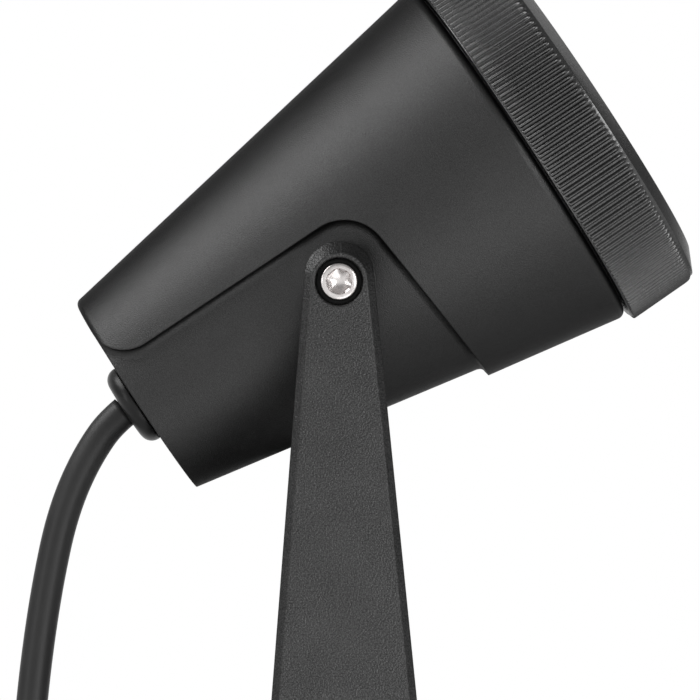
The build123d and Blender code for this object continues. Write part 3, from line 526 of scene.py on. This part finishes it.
# %% The cord's spline and its centreline
line_data = bpy.data.curves.new("cord_line", "CURVE")
line_data.dimensions = "3D"
line_data.resolution_u = 8
spline = line_data.splines.new("NURBS")
spline.points.add(len(cord_points) - 1)
for point, place in zip(spline.points, cord_points):
    point.co = (*place, 1)
spline.order_u = 3
spline.use_endpoint_u = True
line = bpy.data.objects.new("cord_line", line_data)
bpy.context.scene.collection.objects.link(line)
bpy.context.view_layer.update()
line_mesh = bpy.data.meshes.new_from_object(line)
centreline = [vert.co.copy() for vert in line_mesh.vertices]
bpy.data.objects.remove(line)
cord_length = sum((b - a).length for a, b in zip(centreline, centreline[1:]))
print("cord centreline", round(cord_length, 4), "m in", len(centreline), "points")


# %% [markdown]
# ### Sheath
# A round sheath is a ring of points carried along the centreline. Each ring is turned from the
# last one by the smallest rotation, so the sheath never twists.


# %% The cord's sheath
def tube(path, radius, around=28):
    """Carry a ring of points along a path without twist, with closed ends."""
    form = bmesh.new()
    heading = (path[1] - path[0]).normalized()
    side = heading.orthogonal().normalized()
    angles = [2 * pi * step / around for step in range(around)]
    rings = []
    for at, place in enumerate(path):
        ahead = (path[min(at + 1, len(path) - 1)] - path[max(at - 1, 0)]).normalized()
        side = heading.rotation_difference(ahead) @ side
        side = (side - ahead * side.dot(ahead)).normalized()
        heading = ahead
        up = ahead.cross(side)
        ring = [place + (side * cos(turn) + up * sin(turn)) * radius for turn in angles]
        rings.append([form.verts.new(point) for point in ring])
    form.faces.new(rings[0])
    form.faces.new(rings[-1])
    return skin(form, rings)


rubber = Finish("sheath_rubber", Specular_IOR_Level=0.4)
rubber_mottle = rubber.noise(140.0, 3.0)
rubber.show(
    Base_Color=rubber.mix(rubber_mottle, grey(0.010), grey(0.019)),
    Roughness=rubber_mottle * 0.14 + 0.40,
    Normal=rubber.bump(rubber.noise(5200.0), 0.000015),
)
cord = make("cord", tube(centreline, cord_radius), rubber)
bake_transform(cord)
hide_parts("cord_stub", "cord_run", "cord_coil", "cord_tail")

# %% [markdown]
# ## Finishes for the CAD nodes
# Most pieces keep their CAD shape. They get a finish that also rounds their edges by a few tenths
# of a millimetre, as casting, turning and paint do, so that every edge catches a line of light.

# %% Giving CAD nodes a finish
shown = []


def dress(finish, *names):
    """Put a finish on CAD nodes."""
    for name in names:
        for slot in nodes[name].material_slots:
            slot.material = finish.material
        shown.append(name)
    print(finish.material.name, "on", ", ".join(names))


# %% [markdown]
# ### Black powder coat
# The head, ring and bracket are die-cast aluminium with a black coat. Under a softbox it looks
# like dark metal: nearly no diffuse colour, a broad soft highlight and rims that stay dark. A
# Principled metal with a very dark base colour gives that, and a dark Specular Tint holds the
# rims down. The coat's grain is fine on the head and coarser on the bracket, so each has its own
# noise.


# %% Coats
def coat(name, level, grain_scale, grain_height, edge, roughness=0.42, contrast=0.25, relief_and_highlight=None):
    """A black coat of one grain: scale in grains to the metre, heights in metres."""
    finish = Finish(name, Metallic=1.0, Specular_Tint=grey(0.4))
    mottle = finish.noise(90.0, 3.0)
    grain = finish.noise(grain_scale, 2.0)
    speck = finish.cells(grain_scale * 0.8)
    height = grain * 0.7 + speck * 0.6
    tone = (grain - 0.5) * 2.6 + (mottle - 0.5) * 0.4 + 0.5
    if relief_and_highlight:
        line = relief_and_highlight(finish)
        height = height + line * 2.0
        # the line's colour is lifted too: a painted highlight along it
        tone = tone + line * 0.6
    tone = finish.clamp(tone)
    finish.show(
        Base_Color=finish.mix(tone, grey(level * (1 - contrast)), grey(level * (1 + contrast))),
        Roughness=mottle * 0.08 + (roughness - 0.04),
        Normal=finish.bump(height, grain_height, finish.soft_edges(edge)),
    )
    return finish


# a thin raised line over the top of each arm, painted lighter as well: a painted highlight
ridge_and_highlight_middle, ridge_and_highlight_half, ridge_and_highlight_from = 0.0004, 0.0002, 0.1246


def mould_line_and_highlight(finish):
    """The thin raised line that the mould leaves over the top of each arm, also painted lighter: a
    painted highlight.
    """
    across = abs(finish.place("X") - ridge_and_highlight_middle)
    return (across < ridge_and_highlight_half) * (finish.place("Z") > ridge_and_highlight_from)


head_coat = coat("head_coat", 0.050, 4400.0, 0.00007, 0.0005, contrast=0.22)
bracket_coat = coat(
    "bracket_coat", 0.058, 3000.0, 0.00014, 0.0006, 0.40, 0.4, relief_and_highlight=mould_line_and_highlight
)
dress(head_coat, "head_shell")
dress(bracket_coat, "yoke")


# %% [markdown]
# ### Front ring
# The ring screws onto the head and holds the glass. Its 180 grip ribs are cast, so their crests
# are round and they fade into the smooth band in front and the plain edge behind. The CAD ribs
# are sharp prisms; a mesh of its own lets each rib have a round crest and soft ends. The mesh is
# a grid: one direction runs along the ring's section, the other around it, and only the grip's
# rows carry ribs.

# %% Ring section and ribs
ring_rear, ring_front = 0.1054, 0.1252
ring_bore, ring_foot, ring_tip = 0.04195, 0.0463, 0.0470
ring_aperture, ring_land = 0.0384, 0.0406
ring_lip = 0.1227
grip_end = 0.1218
# how much the radius falls for each metre along the grip
grip_taper = 0.0004 / 0.0164
rib_count = 180
rib_profile = (0.0, 0.0, 0.0, 0.08, 0.55, 0.94, 1.0, 0.94, 0.55, 0.08)
# points of (station, radius, share of the rib's height)
grip = [
    (ring_rear + along, ring_foot - grip_taper * along, share)
    for along, share in (
        (0.0004, 0.0),
        (0.0005, 0.80),
        (0.0007, 1.0),
        (0.0050, 1.0),
        (0.0100, 1.0),
        (0.0150, 1.0),
        (0.0157, 0.92),
        (0.0162, 0.65),
        (0.0165, 0.25),
        (0.0167, 0.0),
    )
]
front_corners = rounded(
    [
        grip[-1][:2],
        (grip_end + 0.0009, grip[-1][1] - 0.0001),
        (ring_front, ring_land),
        (ring_front, ring_aperture),
        (ring_lip, ring_aperture),
        (ring_lip, ring_bore),
        (ring_rear, ring_bore),
        (ring_rear, ring_foot - 0.0007),
        (ring_rear + 0.0004, ring_foot),
    ],
    [0, 0.0004, 0.0003, 0.0003, 0.0001, 0.0001, 0.0003, 0.0003, 0],
)
section = grip + [(station, radius, 0.0) for station, radius in front_corners[1:]]
print("ring section points:", len(section))


# %% Front ring
def ribbed(section, ribs, profile, rise):
    """Carry a closed section around the axis, with ribs where it has a share of them."""
    form = bmesh.new()
    around = ribs * len(profile)
    rings = []
    for station, radius, share in section:
        ring = []
        for step in range(around):
            angle = 2 * pi * step / around
            reach = radius + share * rise * profile[step % len(profile)]
            ring.append(form.verts.new((reach * cos(angle), reach * sin(angle), station)))
        rings.append(ring)
    return skin(form, rings + rings[:1])


ring_coat = coat("ring_coat", 0.092, 3000.0, 0.00003, 0.00010, 0.27, 0.2)
ring_form = ribbed(section, rib_count, rib_profile, ring_tip - ring_foot)
front_ring = put("ring_ribbed", ring_form, "ring", ring_coat, head_frame)
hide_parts("front_ring")


# %% [markdown]
# ### Pivot screws
# Two stainless socket head screws hold the head. The photograph looks straight into one: a turned
# face, a chamfered hexagon and the bright bottom of the socket. The head is a grid of rings whose
# outline turns from a circle to a hexagon on the way in, so the socket's corners are real.

# %% Screw sizes
screw_shaft = 0.0025
screw_head = 0.00425
screw_seat = 0.0401009
screw_head_height = 0.005
screw_length = 0.016
socket_across = 0.0050
socket_depth = 0.0026
screw_columns = 48


def hexagon(across, angle):
    """Radius of a hexagon at an angle."""
    turn = (angle + pi / 6) % (pi / 3) - pi / 6
    return across / 2 / cos(turn)


def screw(form, side, turn):
    """One screw along Y, its head outwards; side is 1 or -1."""
    tip = screw_seat - screw_length
    top = screw_seat + screw_head_height
    socket = socket_across / 2
    socket_floor = top - socket_depth
    # (distance from the middle plane, radius, how far the circle has become a hexagon)
    outline = [
        (tip, screw_shaft * 0.8, 0),
        (tip + 0.0004, screw_shaft, 0),
        (screw_seat, screw_shaft, 0),
        (screw_seat, screw_head - 0.0002, 0),
        (screw_seat + 0.0002, screw_head, 0),
        (top - 0.0007, screw_head, 0),
        (top - 0.00035, screw_head - 0.0001, 0),
        (top - 0.0001, screw_head - 0.00035, 0),
        (top, screw_head - 0.0007, 0),
        (top, socket + 0.00045, 0),
        (top - 0.00008, socket + 0.00035, 0.15),
        (top - 0.0004, socket, 1),
        (socket_floor, socket, 1),
        (socket_floor - 0.0003, 0.0021, 0.4),
        (socket_floor - 0.0006, 0.0016, 0),
        (socket_floor - 0.0008, 0.0010, 0),
        (socket_floor - 0.0009, 0.0004, 0),
    ]
    rings = []
    for reach, radius, six in outline:
        ring = []
        for step in range(screw_columns):
            angle = 2 * pi * step / screw_columns
            out = radius * (1 - six) + hexagon(2 * radius, angle) * six
            x, z = out * cos(angle + turn), out * sin(angle + turn)
            ring.append(form.verts.new((x, side * reach, pivot_level + z)))
        rings.append(ring)
    form.faces.new(rings[0])
    form.faces.new(rings[-1])
    return skin(form, rings)


# %% Stainless steel and the screws
turning_marks = 52000.0
stainless = Finish("stainless_turned", Metallic=1.0, Roughness=0.2)
from_pivot = stainless.vector("SUBTRACT", stainless.place(), (0, 0, pivot_level))
square_to_pivot = stainless.vector("MULTIPLY", from_pivot, (1, 0, 1))
from_axis = stainless.vector("LENGTH", square_to_pivot, output="Value")
turning = stainless.sine(from_axis * turning_marks) * 0.5 + 0.5
smudge = stainless.noise(900.0, 3.0)
stainless.show(
    Base_Color=stainless.mix(smudge, (0.58, 0.54, 0.53, 1), (0.80, 0.775, 0.765, 1)),
    Roughness=smudge * 0.14 + 0.14,
    Normal=stainless.bump(turning, 0.000004, stainless.soft_edges(0.0001)),
)
screw_form = bmesh.new()
for side, turn in ((-1, radians(12)), (1, radians(40))):
    screw(screw_form, side, turn)
screws = put("socket_screws", screw_form, "head", stainless)
screws.data.set_sharp_from_angle(angle=radians(32))
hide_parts("pivot_screws")


# %% [markdown]
# ### Glass and seals
# The front is a flat disc of toughened glass, 3.2 mm thick, between two rubber lips. A
# transmission shader with the index of soda-lime glass does all of it; a little haze keeps it
# from being perfect.

# %% Glass
glass = Finish(
    "toughened_glass", Transmission_Weight=1.0, IOR=1.51, Base_Color=(0.93, 0.97, 0.95, 1)
)
glass.show(Roughness=glass.noise(60.0, 4.0) * 0.03)
dress(glass, "front_glass")

# %% Seals
seal = Finish("seal_rubber", Specular_IOR_Level=0.3)
seal_dust = seal.noise(420.0, 4.0)
seal.show(
    Base_Color=seal.mix(seal_dust, grey(0.012), grey(0.024)),
    Roughness=seal_dust * 0.2 + 0.55,
    Normal=seal.bump(seal.noise(2600.0), 0.00002, seal.soft_edges(0.0002)),
)
dress(seal, "ring_seal", "glass_gasket")

# %% [markdown]
# ### Lamp
# Behind the glass a deep matt bowl surrounds a reflector lamp with two pins. Its face is a clear
# moulded disc with a small lens over each light source; the housing is white-coated aluminium.

# %% Baffle and lamp housing
bowl = Finish("baffle_paint", Specular_IOR_Level=0.3)
bowl_grain = bowl.noise(1900.0, 3.0)
bowl.show(
    Base_Color=bowl.mix(bowl_grain, grey(0.030), grey(0.045)),
    Roughness=bowl_grain * 0.1 + 0.55,
    Normal=bowl.bump(bowl_grain, 0.00003, bowl.soft_edges(0.0002)),
)
dress(bowl, "lamp_baffle")

housing = Finish("lamp_white")
housing_tone = housing.noise(120.0, 3.0)
housing.show(
    Base_Color=housing.mix(housing_tone, (0.74, 0.74, 0.73, 1), (0.80, 0.80, 0.79, 1)),
    Roughness=housing_tone * 0.12 + 0.32,
    Normal=housing.bump(housing.noise(1500.0), 0.000012, housing.soft_edges(0.0003)),
)
dress(housing, "lamp_housing")


# %% [markdown]
# ### Plastics and ceramic
# The gland and spike are moulded black plastic: the gland is smooth, the spike has a spark-eroded
# texture. The lampholder is unglazed ceramic with soft clouds, the terminal block milky nylon.


# %% Moulded pieces
def moulding(name, dark, light, roughness, texture, depth, edge=0.0003, **constants):
    """A moulded material: cloudy tone, a fine surface texture and soft edges."""
    finish = Finish(name, **constants)
    tone = finish.noise(110.0, 3.0)
    finish.show(
        Base_Color=finish.mix(tone, dark, light),
        Roughness=tone * 0.1 + (roughness - 0.05),
        Normal=finish.bump(finish.noise(texture, 2.0), depth, finish.soft_edges(edge)),
    )
    return finish


gland_plastic = moulding("gland_plastic", grey(0.006), grey(0.011), 0.34, 900.0, 0.00002, IOR=1.36)
spike_plastic = moulding("spike_plastic", grey(0.016), grey(0.027), 0.46, 2300.0, 0.00008, 0.0006)
block_nylon = moulding(
    "block_nylon",
    grey(0.70, 0.02),
    grey(0.78, 0.02),
    0.38,
    1500.0,
    0.00001,
    Subsurface_Weight=0.15,
)
washer_nylon = moulding("washer_nylon", grey(0.55, 0.03), grey(0.64, 0.03), 0.44, 1200.0, 0.00001)
ceramic = moulding("holder_ceramic", grey(0.62, 0.04), grey(0.72, 0.03), 0.52, 2600.0, 0.00004)
dress(gland_plastic, "gland_cap", "gland_body", "gland_locknut")
dress(seal, "gland_washer", "gland_bush")
dress(spike_plastic, "ground_spike")
dress(block_nylon, "terminal_block")
dress(washer_nylon, "swivel_washer", "friction_washers")
dress(ceramic, "lampholder")

# %% [markdown]
# ### Wires
# Three insulated cores leave the cord inside the head. The earth core is green with a yellow
# stripe along it; the side of the wire that a point is on is told by its normal, so the stripe
# follows bends.

# %% Wires
brown_wire = moulding(
    "wire_brown", (0.13, 0.055, 0.025, 1), (0.17, 0.07, 0.03, 1), 0.34, 1800.0, 0.00001
)
blue_wire = moulding(
    "wire_blue", (0.02, 0.10, 0.36, 1), (0.03, 0.13, 0.43, 1), 0.34, 1800.0, 0.00001
)
earth_wire = Finish("wire_green_yellow")
wire_side = earth_wire.node(
    "ShaderNodeSeparateXYZ",
    inputs={"Vector": earth_wire.node("ShaderNodeTexCoord", output="Normal")},
    output="Y",
)
earth_wire.show(
    Base_Color=earth_wire.mix(wire_side > 0.1, (0.05, 0.26, 0.06, 1), (0.78, 0.62, 0.05, 1)),
    Roughness=earth_wire.noise(300.0) * 0.1 + 0.3,
)
dress(brown_wire, "live_core", "live_lead")
dress(blue_wire, "neutral_core", "neutral_lead")
dress(earth_wire, "earth_core", "earth_lead")


# %% [markdown]
# ### Lamp face
# The lamp's clear face has one collimating lens over each of seven light sources. A disc whose
# height follows seven spherical caps gives the real refraction; the board behind it carries the
# chips.

# %% Lamp face
lamp_face = 0.0996
lens_radius = 0.02325
lens_rear = 0.0975
lens_rim = 0.0008
dome_radius = 0.0074
dome_height = 0.0013
dome_spacing = 0.0150
dome_places = [Vector((0, 0))] + [
    Vector((dome_spacing * cos(k * pi / 3), dome_spacing * sin(k * pi / 3))) for k in range(6)
]


def lens_height(place):
    """Station of the lens face: a dome over each chip and a flat rim."""
    if place.length > lens_radius - lens_rim:
        return lamp_face
    nearest = min((place - dome).length for dome in dome_places)
    dome = max(0.0, 1 - (nearest / dome_radius) ** 2)
    return lamp_face - dome_height * (1 - dome)


lens_form = bmesh.new()
lens_rows, lens_columns = 56, 144
lens_rings = [[lens_form.verts.new((0, 0, lens_height(Vector((0, 0)))))]]
for row in range(1, lens_rows + 1):
    ring = []
    for column in range(lens_columns):
        angle = 2 * pi * column / lens_columns
        place = Vector((cos(angle), sin(angle))) * lens_radius * row / lens_rows
        ring.append(lens_form.verts.new((place.x, place.y, lens_height(place))))
    lens_rings.append(ring)
lens_rings.append(
    [lens_form.verts.new((vert.co.x, vert.co.y, lens_rear)) for vert in lens_rings[-1]]
)
skin(lens_form, lens_rings)
lens_form.faces.new(lens_rings[-1])

lens_plastic = Finish("lamp_lens", Transmission_Weight=1.0, IOR=1.49, Base_Color=grey(0.95))
lens_plastic.show(Roughness=lens_plastic.noise(200.0, 3.0) * 0.05 + 0.02)
lens = put("lens_domes", lens_form, "head", lens_plastic, head_frame)
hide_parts("lamp_lens")

# %% Light sources behind the lens
board_rear, board_front, board_radius = 0.0950, 0.0962, 0.0217
board_corners = [
    (board_rear, 0.0),
    (board_rear, board_radius),
    (board_front, board_radius),
    (board_front, 0.0),
]
board_form = spin(rounded(board_corners, [0, 0.0002, 0.0002, 0]), 72)
board_white = moulding("board_white", grey(0.66), grey(0.74), 0.42, 1400.0, 0.00001)
board = put("chip_board", board_form, "head", board_white, head_frame)

chip_half = 0.0021
chip_columns = 32
# (station, share of the chip's width)
chip_rings = ((board_front, 1.0), (board_front + 0.0004, 0.9), (board_front + 0.00065, 0.0))
chip_form = bmesh.new()
for dome in dome_places:
    rings = []
    for station, share in chip_rings:
        ring = []
        for step in range(chip_columns if share else 1):
            angle = 2 * pi * step / chip_columns
            square = 1 / max(abs(cos(angle)), abs(sin(angle))) ** 0.75
            place = dome + Vector((cos(angle), sin(angle))) * chip_half * square * share
            ring.append(chip_form.verts.new((place.x, place.y, station)))
        rings.append(ring)
    skin(chip_form, rings)
phosphor = moulding(
    "chip_phosphor", (0.78, 0.62, 0.10, 1), (0.84, 0.70, 0.16, 1), 0.3, 2400.0, 0.00002
)
chips = put("light_chips", chip_form, "head", phosphor, head_frame)


# %% [markdown]
# ### Small metal parts
# Washers, screws, pins and contacts are metals that differ in colour and in how they were made:
# stainless steel is turned or blanked, zinc is cloudy, nickel is smooth and warm, brass is
# yellow, and the washers under the pivot screws are near black, which keeps the deep ring round
# each screw head dark.


# %% Metals
def metal(name, dark, light, roughness, cloud):
    """A bare or plated metal with soft clouds of tone and roughness."""
    finish = Finish(name, Metallic=1.0)
    tone = finish.noise(cloud, 4.0)
    finish.show(
        Base_Color=finish.mix(tone, dark, light),
        Roughness=tone * 0.16 + (roughness - 0.08),
        Normal=finish.bump(finish.noise(cloud * 9), 0.000008, finish.soft_edges(0.0001)),
    )
    return finish


steel = metal("stainless", (0.50, 0.49, 0.48, 1), (0.62, 0.61, 0.60, 1), 0.30, 500.0)
zinc = metal("zinc_steel", (0.46, 0.47, 0.49, 1), (0.62, 0.63, 0.65, 1), 0.38, 700.0)
nickel = metal("nickel", (0.58, 0.56, 0.52, 1), (0.70, 0.68, 0.64, 1), 0.20, 300.0)
brass = metal("brass", (0.62, 0.44, 0.18, 1), (0.76, 0.57, 0.27, 1), 0.26, 600.0)
# near-black washers: the ring deep in each counterbore stays dark
dark_washer_metal = metal("black_washer", grey(0.020), grey(0.034), 0.45, 500.0)
dress(steel, "spike_bolt", "bolt_washer")
dress(dark_washer_metal, "pivot_washers")
dress(zinc, "holder_bracket", "holder_screws", "bracket_screws", "block_screws")
dress(nickel, "lamp_pins", "plug_pins", "plug_earth_clips")
dress(brass, "holder_contacts", "spike_insert", "pivot_inserts", "terminal_screws")


# %% [markdown]
# ### Plug and strap
# The plug is one rubber moulding. Its tapered sleeve flexes on ribs, so the finish raises rings
# along the sleeve only. The coil is held by a woven strap: a closed band whose weave is two
# crossed waves, one for each direction of thread.

# %% Plug rubber
plug_rubber = Finish("plug_rubber", Specular_IOR_Level=0.4)
plug_start = tail_points[-1][0]
sleeve_start, sleeve_end = plug_start + 0.0015, plug_start + 0.0165
sleeve_pitch = 0.0025
plug_along = plug_rubber.place("X")
sleeve_zone = (plug_along > sleeve_start) * (plug_along < sleeve_end)
sleeve_rings = plug_rubber.sine((plug_along - plug_start) * (2 * pi / sleeve_pitch))
plug_grain = plug_rubber.noise(2100.0)
plug_height = sleeve_zone * sleeve_rings * 6.0 + plug_grain * 0.6
plug_tone = plug_rubber.noise(90.0, 3.0)
plug_rubber.show(
    Base_Color=plug_rubber.mix(plug_tone, grey(0.012), grey(0.021)),
    Roughness=plug_tone * 0.12 + 0.46,
    Normal=plug_rubber.bump(plug_height, 0.00006, plug_rubber.soft_edges(0.0006)),
)
dress(plug_rubber, "plug_body")

# %% Woven strap
strap_low, strap_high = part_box("cord_tie")
strap_middle = (strap_low + strap_high) / 2
strap_half = (strap_high - strap_low) / 2
strap_thickness = 0.001
strap_corner = cord_radius + strap_thickness


def strap_loop(inset, steps=10):
    """The strap's section: a rectangle with round corners, set in by a distance."""
    across, up = strap_half.x - inset, strap_half.z - inset
    bend = strap_corner - inset
    loop = []
    for corner, (cx, cz) in enumerate(((1, 1), (-1, 1), (-1, -1), (1, -1))):
        for step in range(steps + 1):
            angle = pi / 2 * (corner + step / steps)
            loop.append(
                (cx * (across - bend) + bend * cos(angle), cz * (up - bend) + bend * sin(angle))
            )
    return loop


strap_form = bmesh.new()
strap_rows = 14
strap_round = 0.00018
faces_of_band = []
for inset, inwards in ((0.0, 1), (strap_thickness, -1)):
    rows = []
    for row in range(strap_rows + 1):
        share = 2 * row / strap_rows - 1
        edge = inwards * strap_round * abs(share) ** 6
        y = strap_middle.y + share * strap_half.y
        rows.append(
            [
                strap_form.verts.new((strap_middle.x + x, y, strap_middle.z + z))
                for x, z in strap_loop(inset + edge)
            ]
        )
    skin(strap_form, rows)
    faces_of_band.append(rows)
outside, inside = faces_of_band
for row in (0, strap_rows):
    skin(strap_form, [outside[row], inside[row]])

thread_pitch = 0.0009
strap_cloth = Finish("strap_weave", Specular_IOR_Level=0.25)
along_strap = strap_cloth.place("X") + strap_cloth.place("Z")
warp = strap_cloth.sine(strap_cloth.place("Y") * (2 * pi / thread_pitch))
weft = strap_cloth.sine(along_strap * (2 * pi / thread_pitch))
weave = warp * weft * 0.5 + 0.5
strap_cloth.show(
    Base_Color=strap_cloth.mix(weave, grey(0.010), grey(0.030)),
    Roughness=weave * 0.1 + 0.75,
    Normal=strap_cloth.bump(weave, 0.00025),
)
strap = put("tie_strap_woven", strap_form, "yoke", strap_cloth)
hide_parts("cord_tie")

# %% [markdown]
# ### Cord's end
# Inside the gland the sheath goes on for a little over a centimetre and is cut off square, where
# the cores come out. It is a piece of its own on the head.

# %% Cord's end inside the head
sheath_start, sheath_cut = -0.0041, 0.0095
end_corners = [
    (sheath_start, 0.0),
    (sheath_start, cord_radius),
    (sheath_cut, cord_radius),
    (sheath_cut, 0.0),
]
end_form = spin(rounded(end_corners, [0, 0.0002, 0.0006, 0]), 40)
inner_end = put("sheath_end", end_form, "head", rubber, head_frame)
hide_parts("cord_inner_end")

# %% [markdown]
# ## Last look
# No node of the CAD model should go without a finish.

# %% Nodes without a finish
undressed = [
    name for name, node in nodes.items() if name not in shown and not node.hide_render
]
print("CAD nodes without a finish:", undressed)
